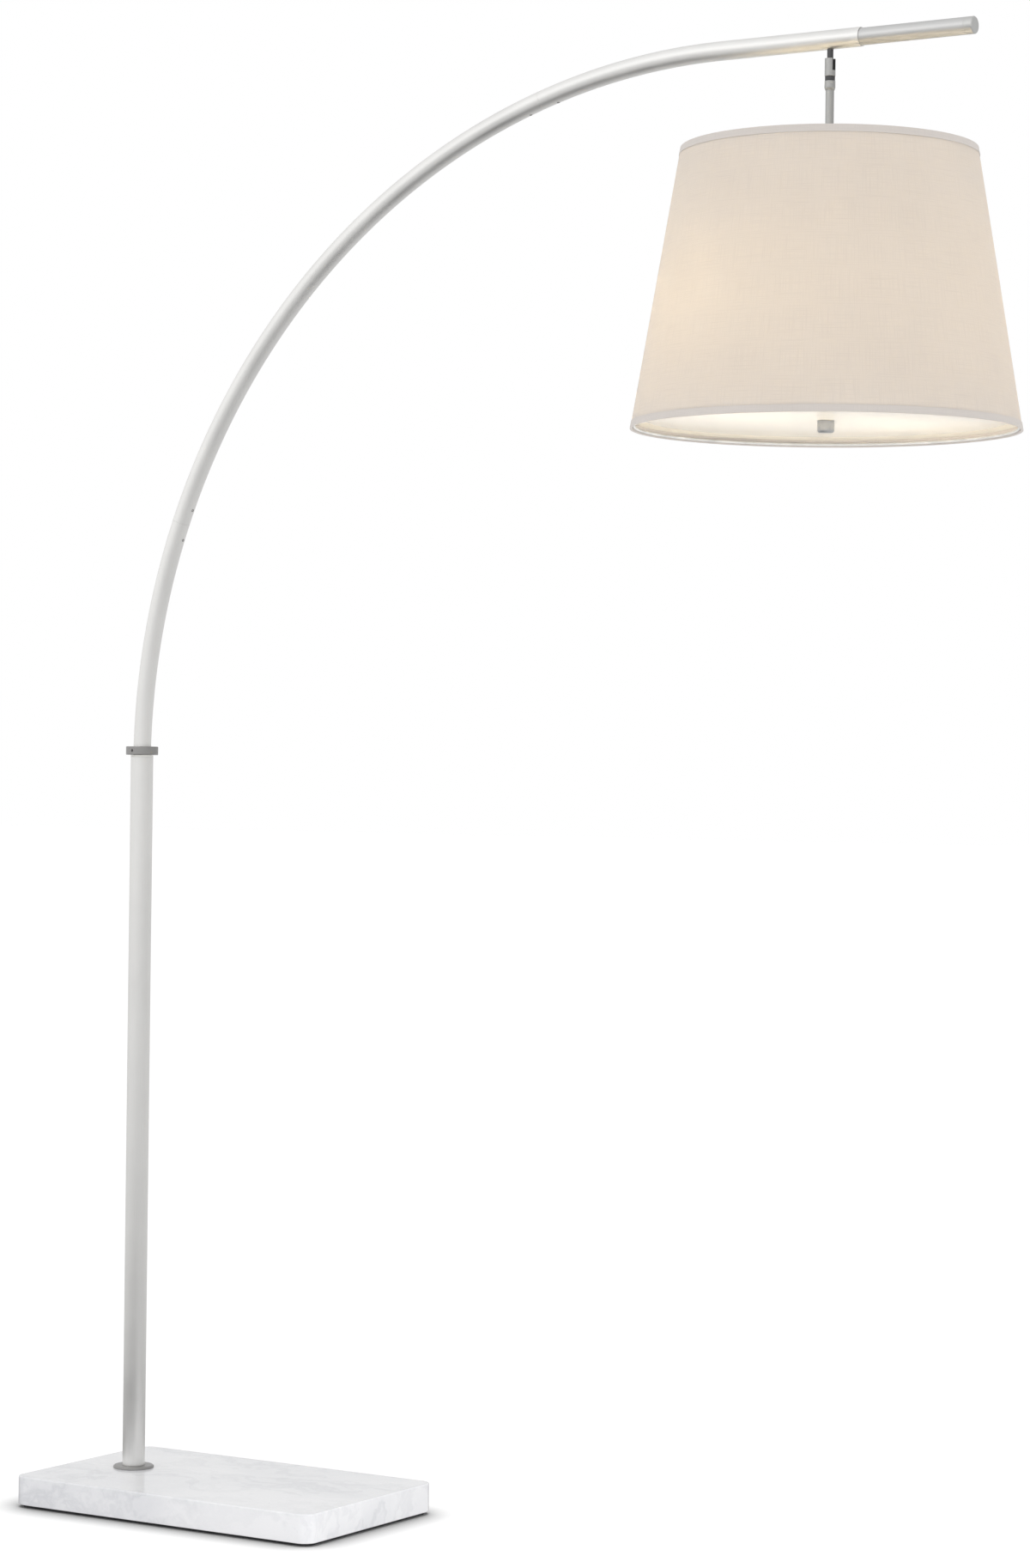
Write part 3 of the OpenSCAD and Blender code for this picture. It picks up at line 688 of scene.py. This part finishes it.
def make_arm():
    """The three curved tubes with the screws at their seams, the straight end tube and its plug."""
    arm_low_end = low("arm_lower").z - ARC_START
    past = high("arm_upper").x - arc_radius
    arm_tube("arm_tube_lower", arm_low_end, arc_length(SEAM_LOW), "arm_lower")
    arm_tube("arm_tube_middle", arc_length(SEAM_LOW), arc_length(SEAM_HIGH), "arm_middle")
    arm_tube("arm_tube_upper", arc_length(SEAM_HIGH), arc_length(90) + past, "arm_upper")

    screw_length = 3.6 * MM
    screw_proud = 0.4 * MM
    for number, (seam, side) in enumerate((s, d) for s in (SEAM_LOW, SEAM_HIGH) for d in (-1, 1)):
        centre = on_arc(arc_length(seam + side * SCREW_PAST_SEAM))[0]
        inward = (Vector((arc_radius, 0, ARC_START)) - centre).normalized()
        start = centre + inward * (arm_radius - (screw_length - screw_proud))
        socket_screw(f"joint_screw_{number + 1}", start, inward, screw_length, "arm", "joint_screws")

    tip_low, tip_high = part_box("arm_tip")
    tip_wide = (tip_high.z - tip_low.z) / 2
    level = Vector((tip_low.x, 0, arm_level))
    profile = ring_profile(tip_high.x - tip_low.x, tip_wide, tip_wide - 1 * MM, 0.4 * MM)
    end_tube = turned("end_tube", profile, along(level, (1, 0, 0)), TUBE_AROUND)
    place(end_tube, "arm", "tip_nickel", "arm_tip")

    cap_low, cap_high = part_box("arm_end_cap")
    plug_wide = tip_wide - 1.1 * MM
    band = tip_high.x - cap_low.x
    end = cap_high.x - cap_low.x
    profile = eased([(0, 0), (0, plug_wide), (band, plug_wide), (band, tip_wide), (end - 2.2 * MM, tip_wide),
                     (end - 0.9 * MM, tip_wide - 1 * MM), (end, tip_wide - 3.6 * MM), (end, 0)],
                    0.7 * MM, closed=False)
    cap_start = Vector((cap_low.x, 0, arm_level))
    end_plug = turned("end_plug", profile, along(cap_start, (1, 0, 0)), TUBE_AROUND)
    place(end_plug, "arm", "cap_nickel", "arm_end_cap")


def make_collar():
    """The ring round the arm's foot, with a grub screw on each side."""
    ring_low, ring_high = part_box("arm_collar")
    wide = radius("arm_collar")
    height = ring_high.z - ring_low.z
    bore = arm_radius + 0.4 * MM
    profile = eased([(0, bore), (0, wide), (height, wide), (height, bore)], 1.1 * MM, 6)
    collar = turned("swivel_collar", profile, upright(0, ring_low.z), BODY_AROUND)
    screw_start = arm_radius + 1 * MM
    screw_length = 8.5 * MM
    screw_z = (ring_low.z + ring_high.z) / 2
    cuts = [rod_cutter((0, side * screw_start, screw_z), (0, side, 0), wide, SCREW_DIA + 0.2 * MM)
            for side in (-1, 1)]
    place(carved(collar, cuts), "arm", "dark_nickel", "arm_collar")
    for number, side in enumerate((-1, 1)):
        socket_screw(f"collar_screw_{number + 1}", (0, side * screw_start, screw_z), (0, side, 0),
                     screw_length, "arm", "collar_screws")


make_arm()
make_collar()

# ---- hanger ----


def make_hanger():
    """The hollow stud, the cup that swings on two pins, the lock ring, the stem's joint and the stem."""
    stud_low, stud_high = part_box("hang_stud")
    lead_hole = 2.2 * MM
    profile = ring_profile(stud_high.z - stud_low.z, STUD_DIA / 2, lead_hole, 0.5 * MM)
    stud = turned("hanging_stud", profile, upright(shade_x, stud_low.z), 64)
    place(stud, "arm", "black_nickel", "hang_stud")

    cup_low, cup_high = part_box("swivel_cup")
    cup_wide = radius("swivel_cup")
    height = cup_high.z - cup_low.z
    cup_hole = 2.6 * MM
    socket_wide = 5.3 * MM
    socket_depth = 5 * MM
    profile = eased([(0, socket_wide), (0, cup_wide), (height, cup_wide), (height, cup_hole),
                     (socket_depth, cup_hole), (socket_depth, socket_wide)], 0.8 * MM, 5)
    cup = turned("swivel_yoke", profile, upright(shade_x, cup_low.z), 96)
    slot_reach = 20 * MM
    slot = box_cutter((shade_x - slot_reach, -SLOT_WIDTH / 2, pivot_z - SLOT_FLOOR),
                      (shade_x + slot_reach, SLOT_WIDTH / 2, cup_high.z + OVERCUT))
    # The cup, the stem's joint and the stem take the darker copy of tip nickel, which paints shade on them.
    place(carved(cup, [slot]), "swivel", "tip_nickel", "swivel_cup", look="stem_nickel_painted_shade")

    pin_start = 2.5 * MM
    pin_profile = rod_profile(cup_wide - 2.9 * MM, 1.5 * MM, 0.4 * MM)
    for number, side in enumerate((-1, 1)):
        start = Vector((shade_x, side * pin_start, pivot_z))
        place(turned(f"swivel_pin_{number + 1}", pin_profile, along(start, (0, side, 0)), 40),
              "swivel", "black_nickel", "swivel_pins")

    ring_low, ring_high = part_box("lock_ring")
    height = cup_low.z - ring_low.z
    wide = radius("lock_ring")
    bore = STUD_DIA / 2 + 0.05 * MM
    collar_wide = 4.9 * MM
    collar_end = ring_high.z - ring_low.z
    profile = eased([(0, bore), (0, wide), (height, wide), (height, collar_wide), (collar_end, collar_wide),
                     (collar_end, bore)], 0.5 * MM)
    locking_ring = turned("locking_ring", profile, upright(shade_x, ring_low.z), 192,
                          knurl=(32, 0.25 * MM, wide - 0.2 * MM))
    place(locking_ring, "swivel", "black_nickel", "lock_ring")

    joint_low, joint_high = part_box("stem_coupler")
    wide = radius("stem_coupler")
    stem_wide = radius("stem_tube")
    height = joint_high.z - joint_low.z
    foot_wide = stem_wide + 0.6 * MM
    taper = 3 * MM
    profile = eased([(0, stem_wide), (0, foot_wide), (taper, wide), (height, wide), (height, bore)],
                    0.6 * MM, 5)
    joint = turned("stem_joint", profile, upright(shade_x, joint_low.z), 96)
    place(joint, "shade", "tip_nickel", "stem_coupler", look="stem_nickel_painted_shade")

    stem_low, stem_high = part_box("stem_tube")
    profile = ring_profile(stem_high.z - stem_low.z, stem_wide, stem_wide - 1.2 * MM, 0.3 * MM)
    stem = turned("stem", profile, upright(shade_x, stem_low.z), 72)
    place(stem, "shade", "tip_nickel", "stem_tube", look="stem_nickel_painted_shade")


make_hanger()

# ---- shade ----

shade_low, shade_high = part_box("shade_cover")
bottom_wide = radius("shade_cover")
height_of_shade = shade_high.z - shade_low.z
slant = math.hypot(height_of_shade, bottom_wide - TOP_WIDE)
shade_place = upright(shade_x, shade_low.z)


def shade_radius(h):
    return bottom_wide + (TOP_WIDE - bottom_wide) * h / height_of_shade


def soft_ripple(turn, h):
    """How far the stretched cloth stands inside its cone: at most 0.36 mm."""
    ripple = 0.09 * MM
    return ripple * (math.sin(5 * turn + 1.3) + math.sin(11 * turn + 14 * h) - 2)


def make_cover():
    """The linen: one sheet round the cone, whose end lies over its start in a straight seam at the back."""
    lap = 10 * MM / bottom_wide
    round_and_lap = 2 * math.pi + lap
    lift = 0.55 * MM                    # how far the lapped end stands off
    lift_over = lap * 0.6               # the turn in which it rises
    seam_turn = math.radians(120)
    middle_radius = shade_radius(height_of_shade / 2)
    columns = SHADE_AROUND
    rows = 36
    bm = bmesh.new()
    uv = bm.loops.layers.uv.verify()
    grid = []
    for i in range(columns + 1):
        passed = i / columns * round_and_lap
        turn = seam_turn + passed
        rise = lift * min(1.0, max(0.0, (passed - 2 * math.pi + lift_over) / lift_over))
        column = []
        for k in range(rows + 1):
            h = height_of_shade * k / rows
            reach = shade_radius(h) + soft_ripple(turn, h) + rise
            point = (shade_x + reach * math.cos(turn), reach * math.sin(turn), shade_low.z + h)
            column.append(bm.verts.new(point))
        grid.append(column)
    for i in range(columns):
        for k in range(rows):
            corners = [(i, k), (i + 1, k), (i + 1, k + 1), (i, k + 1)]
            face = bm.faces.new([grid[a][b] for a, b in corners])
            face.smooth = True
            for loop, (a, b) in zip(face.loops, corners):
                loop[uv].uv = (a / columns * round_and_lap * middle_radius, b / rows * slant)
    return finished("linen_cover", bm)


def make_hem(name, edge, inward):
    """A folded band over one edge of the shade: edge is its height, inward +1 where the shade lies above."""
    wall = 0.5 * MM
    outer = 0.05 * MM
    inner = COVER + LINER + 0.15 * MM

    def at(h, offset):
        return (h, shade_radius(h) + offset)

    far = edge + inward * TRIM
    lip = edge - inward * wall
    section = [at(far, outer), at(far, outer + wall), at(lip, outer + wall), at(lip, -inner - wall),
               at(far, -inner - wall), at(far, -inner), at(edge, -inner), at(edge, outer)]
    return turned(name, eased(section, 0.45 * MM, 5), shade_place, SHADE_AROUND)


def make_shade():
    """The stiff liner, the linen stretched over it, and the hems."""
    inner = COVER + 0.05 * MM
    top = height_of_shade
    section = [(0, shade_radius(0) - inner), (top, shade_radius(top) - inner),
               (top, shade_radius(top) - inner - LINER), (0, shade_radius(0) - inner - LINER)]
    profile = finely(eased(section, 0.2 * MM, 2), 30 * MM)
    liner = place(turned("styrene_liner", profile, shade_place, SHADE_AROUND), "shade", "liner_film",
                  "shade_liner")
    cover = place(make_cover(), "shade", "linen", "shade_cover")
    upper = place(make_hem("upper_hem", top, -1), "shade", "linen_trim", "top_trim")
    lower = place(make_hem("lower_hem", 0, 1), "shade", "linen_trim", "bottom_trim")


make_shade()


def wire_ring_into(bm, node):
    """Adds a round wire bent into a ring, as wide as a node and level with its top."""
    wide = radius(node) - WIRE
    profile = [Vector((WIRE * math.sin(t), wide + WIRE * math.cos(t)))
               for t in (2 * math.pi * k / WIRE_AROUND for k in range(WIRE_AROUND))]
    sweep_into(bm, profile, upright(shade_x, high(node).z - WIRE), RING_AROUND)


def make_lower_ring():
    bm = bmesh.new()
    wire_ring_into(bm, "bottom_ring")
    place(finished("lower_ring", bm), "shade", "white_wire", "bottom_ring")


def wire_into(bm, start, end, thick):
    """Adds a straight round wire."""
    across = (end - start).cross(UP).normalized()
    ahead = (end - start).normalized()
    length = (end - start).length
    profile = [Vector((0, 0)), Vector((0, thick)), Vector((length, thick)), Vector((length, 0))]
    sweep_into(bm, profile, lambda s: (start + ahead * s, across, ahead.cross(across)), WIRE_AROUND,
               closed=False)


def make_spider():
    """The fitter: a round hub plate, three wires, and the ring that holds the shade's top edge."""
    nuts_low, nuts_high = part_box("spider_nuts")
    hub_z = (nuts_low.z + nuts_high.z) / 2
    stem_wide = radius("stem_tube")
    ring_z = high("spider").z - WIRE
    ring_wide = radius("spider") - WIRE
    plate_wide = 17 * MM
    plate_thick = 3 * MM
    bm = bmesh.new()
    plate = ring_profile(plate_thick, plate_wide, stem_wide, 0.5 * MM)
    sweep_into(bm, plate, upright(shade_x, hub_z - plate_thick / 2))
    wire_ring_into(bm, "spider")
    centre = Vector((shade_x, 0, 0))
    for turn in SPIDER_TURNS:
        out = Vector((math.cos(math.radians(turn)), math.sin(math.radians(turn)), 0))
        wire_into(bm, centre + out * 13 * MM + UP * hub_z, centre + out * ring_wide + UP * ring_z, 1.5 * MM)
    place(finished("fitter_spider", bm), "shade", "white_wire", "spider")

    nut_profile = ring_profile(6 * MM, 11 * MM, stem_wide, 0.7 * MM)
    for number, base in enumerate((nuts_low.z, hub_z + plate_thick / 2)):
        nut = turned(f"fitter_nut_{number + 1}", nut_profile, upright(shade_x, base), RING_AROUND,
                     knurl=(40, 0.3 * MM, 10.8 * MM))
        place(nut, "shade", "satin_nickel", "spider_nuts")


make_lower_ring()
make_spider()

# ---- light ----


def bulb_direction(turn):
    """Which way a bulb points: level and then dipped."""
    dip = math.radians(BULB_DIP)
    turn = math.radians(turn)
    return Vector((math.cos(dip) * math.cos(turn), math.cos(dip) * math.sin(turn), -math.sin(dip)))


def make_hub():
    """The cluster body: a turned drum with a boss for each lampholder."""
    hub_low, hub_high = low("cluster_hub"), high("cluster_hub")
    height = hub_high.z - hub_low.z
    wide = 24 * MM
    bm = bmesh.new()
    sweep_into(bm, eased([(0, 0), (0, wide - 3 * MM), (4 * MM, wide), (height - 8 * MM, wide),
                          (height - 2 * MM, wide - 8 * MM), (height, wide - 12 * MM), (height, 0)],
                         2 * MM, 5, closed=False), upright(shade_x, hub_low.z), 96, closed=False)
    boss_start = 15 * MM
    boss = rod_profile(SOCKET_SPAN[0] - boss_start, 9 * MM, 0.6 * MM)
    for turn in BULB_TURNS:
        direction = bulb_direction(turn)
        sweep_into(bm, boss, along(hub_middle + direction * boss_start, direction), 48, closed=False)
    place(finished("cluster_body", bm), "shade", "satin_nickel", "cluster_hub")


def bulb_outline():
    """Half-section of a bulb, from its neck to its far end: a smooth curve that runs into a ball."""
    length = GLASS_SPAN[1] - GLASS_SPAN[0]
    neck_wide = 13.4 * MM
    neck_slope = 0.05
    ball = 30 * MM
    ball_at = length - ball
    join = 36 * MM
    join_wide = math.sqrt(ball ** 2 - (ball_at - join) ** 2)
    join_slope = (ball_at - join) / join_wide
    points = [(0, 0)]
    steps = 24
    for k in range(steps + 1):
        t = k / steps
        wide = ((2 * t ** 3 - 3 * t ** 2 + 1) * neck_wide + (t ** 3 - 2 * t ** 2 + t) * neck_slope * join
                + (3 * t ** 2 - 2 * t ** 3) * join_wide + (t ** 3 - t ** 2) * join_slope * join)
        points.append((join * t, wide))
    first = math.acos((ball_at - join) / ball)
    steps = 32
    for k in range(1, steps + 1):
        turn = first + (math.pi - first) * k / steps
        points.append((ball_at - ball * math.cos(turn), ball * math.sin(turn) if k < steps else 0))
    return [Vector(p) for p in points]


def socket_outline():
    """Half-section of a lampholder: a shell with a recessed band, open towards the bulb."""
    length = SOCKET_SPAN[1] - SOCKET_SPAN[0]
    wide = 18 * MM
    band_wide = 17.2 * MM
    bore = 14 * MM
    floor = 4 * MM
    return eased([(0, 0), (0, 15 * MM), (2 * MM, wide), (length - 16 * MM, wide),
                  (length - 15 * MM, band_wide), (length - 2 * MM, band_wide), (length - 1 * MM, wide),
                  (length, wide), (length, bore), (floor, bore), (floor, 0)], 0.5 * MM, closed=False)


def cap_outline(length):
    """Half-section of a bulb's cap: a stepped contact, then a round-topped thread."""
    steps = 60
    steps_per_thread = 8.5
    mean_wide = 12.6 * MM
    depth = 0.4 * MM
    threads = [Vector((length * k / steps, mean_wide + depth * math.sin(2 * math.pi * k / steps_per_thread)))
               for k in range(steps + 1)]
    contact = [(-3 * MM, 0), (-3 * MM, 5 * MM), (-2 * MM, 6 * MM), (0, 9 * MM)]
    return [Vector(p) for p in contact] + threads + [Vector((length, 0))]


def make_bulbs():
    """Each lampholder with its bulb: the glass and the threaded cap."""
    cap_length = 26 * MM
    for number, turn in enumerate(BULB_TURNS, 1):
        direction = bulb_direction(turn)

        def out_from_hub(distance):
            return along(hub_middle + direction * distance, direction)

        holder = turned(f"lampholder_{number}", socket_outline(), out_from_hub(SOCKET_SPAN[0]), closed=False)
        place(holder, "shade", "phenolic", f"socket_{number}")
        glass = turned(f"bulb_{number}", bulb_outline(), out_from_hub(GLASS_SPAN[0]), 72, closed=False)
        glass.visible_glossy = False  # the tubes show no mirror image of the bulbs
        place(glass, "shade", "bulb_glass", f"bulb_glass_{number}")
        cap_line = out_from_hub(GLASS_SPAN[0] - cap_length)
        cap = turned(f"bulb_cap_{number}", cap_outline(cap_length), cap_line, 72, closed=False)
        place(cap, "shade", "bulb_screw", f"bulb_base_{number}")


def make_diffuser():
    """The opal disc in the shade's mouth, its washer, and the finial that holds it up."""
    disc_low, disc_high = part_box("diffuser_disc")
    profile = ring_profile(disc_high.z - disc_low.z, radius("diffuser_disc"), ROD_BORE, 0.8 * MM)
    disc = turned("opal_disc", profile, upright(shade_x, disc_low.z), RING_AROUND)
    place(disc, "shade", "opal_acrylic", "diffuser_disc")

    washer_low, washer_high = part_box("diffuser_washer")
    profile = ring_profile(washer_high.z - washer_low.z, radius("diffuser_washer"), ROD_BORE, 0.5 * MM)
    washer = turned("disc_washer", profile, upright(shade_x, washer_low.z), 72)
    place(washer, "shade", "satin_nickel", "diffuser_washer")

    knob_low, knob_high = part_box("finial")
    wide = radius("finial")
    height = knob_high.z - knob_low.z
    edge = 4 * MM
    groove = 0.5 * MM
    groove_at = height - 3 * MM
    rounding = [(edge * (1 - math.cos(t)), wide - edge + edge * math.sin(t))
                for t in (math.pi / 2 * k / 10 for k in range(11))]
    profile = [(0, 0), *rounding, (groove_at, wide), (groove_at + groove, wide - groove),
               (groove_at + 2 * groove, wide), (height - groove, wide), (height, wide - groove), (height, 0)]
    knob = turned("end_finial", [Vector(p) for p in profile], upright(shade_x, knob_low.z), closed=False)
    place(knob, "shade", "tip_nickel", "finial")


make_hub()
make_bulbs()
make_diffuser()

# ---- surroundings ----

FLOOR_SIZE = 60          # metres from the middle to each edge
# The contact shadow round the slab is painted into the floor's colour.
PAINTED_SHADOW_REACH = 0.06     # metres in which the floor darkens close to the slab


def make_floor():
    """White paper with a painted contact shadow round the slab, seen by the camera only. In the metal it
    shows darker close in front of the pole than further away.
    """
    paper = Finish("studio_floor")
    fibre = paper.noise(paper.coordinates("Object", (300, 300, 300)), 2, 0.5)
    open_sky = paper.node("AmbientOcclusion", {"Distance": PAINTED_SHADOW_REACH}).outputs["AO"]
    path = paper.node("LightPath").outputs
    # Painted shadow: for camera rays the floor's colour is darkened where the slab hides the sky.
    contact = paper.between(path["Is Camera Ray"], 1.0, paper.spread(open_sky, 0.35, 0.95, 0.25, 1.0))
    white = paper.mix(contact, grey(0.0), paper.mix(fibre, grey(0.955), grey(0.975)))
    seen = paper.node("BsdfDiffuse", {"Color": white})
    dark_spot = -view_right * 0.15 - view_forward * 0.6
    away = paper.node("VectorMath", {0: paper.coordinates("Object", (1, 1, 1)), 1: dark_spot},
                      operation="DISTANCE").outputs["Value"]
    near = paper.spread(away, 0.3, 1.7, 0.06, 0.64)
    far = paper.spread(away, 1.7, 10.0, 0.0, 0.11)
    mirrored = paper.node("BsdfDiffuse", {"Color": paper.sum("ADD", near, far)})
    both = paper.node("MixShader", {0: path["Is Glossy Ray"], 1: seen.outputs[0], 2: mirrored.outputs[0]})
    paper.put(paper.output.inputs["Surface"], both.outputs[0])
    bm = bmesh.new()
    bmesh.ops.create_grid(bm, x_segments=2, y_segments=2, size=FLOOR_SIZE)
    floor = finished("floor", bm)
    floor.data.materials.append(paper.material)


def make_world():
    """Even white light. In the metal it is strongest on the left in front and weakest behind on the right."""
    world = bpy.data.worlds.new("studio")
    world.use_nodes = True
    sky = Nodes(world.node_tree)
    bright_side = (-view_right * 0.85 - view_forward * 0.5).normalized()
    facing = sky.node("VectorMath", {0: sky.node("TexCoord").outputs["Generated"], 1: bright_side},
                      operation="DOT_PRODUCT").outputs["Value"]
    even = sky.spread(facing, -1.0, 1.0, 1.10, 1.06)
    mirrored = sky.spread(facing, -0.6, 0.85, 0.74, 1.16)
    path = sky.node("LightPath").outputs
    strength = sky.between(path["Is Glossy Ray"], even, mirrored)
    strength = sky.between(path["Is Camera Ray"], strength, 1.0)
    background = world.node_tree.nodes["Background"]
    background.inputs["Color"].default_value = grey(1.0)
    sky.put(background.inputs["Strength"], strength)
    bpy.context.scene.world = world


def soft_light(name, position, aim, size, power, glints=True):
    """A round soft light in watts. Without glints it isn't seen in the metal."""
    lamp = bpy.data.lights.new(name, "AREA")
    lamp.shape = "DISK"
    lamp.size = size
    lamp.energy = power
    light = bpy.data.objects.new(name, lamp)
    light.location = position
    light.rotation_euler = (Vector(aim) - Vector(position)).to_track_quat("-Z", "Y").to_euler()
    light.visible_camera = False
    light.visible_glossy = glints
    bpy.context.scene.collection.objects.link(light)


make_floor()
make_world()
soft_light("key", -view_right * 2.5 - view_forward * 3.0 + UP * 3.6, (0.5, 0, 1.0), 2.2, 6)
soft_light("fill", (1.3, -0.6, 0.3), (0.3, 0, 0.02), 0.6, 2.6, glints=False)
bpy.context.scene.view_settings.view_transform = "Standard"
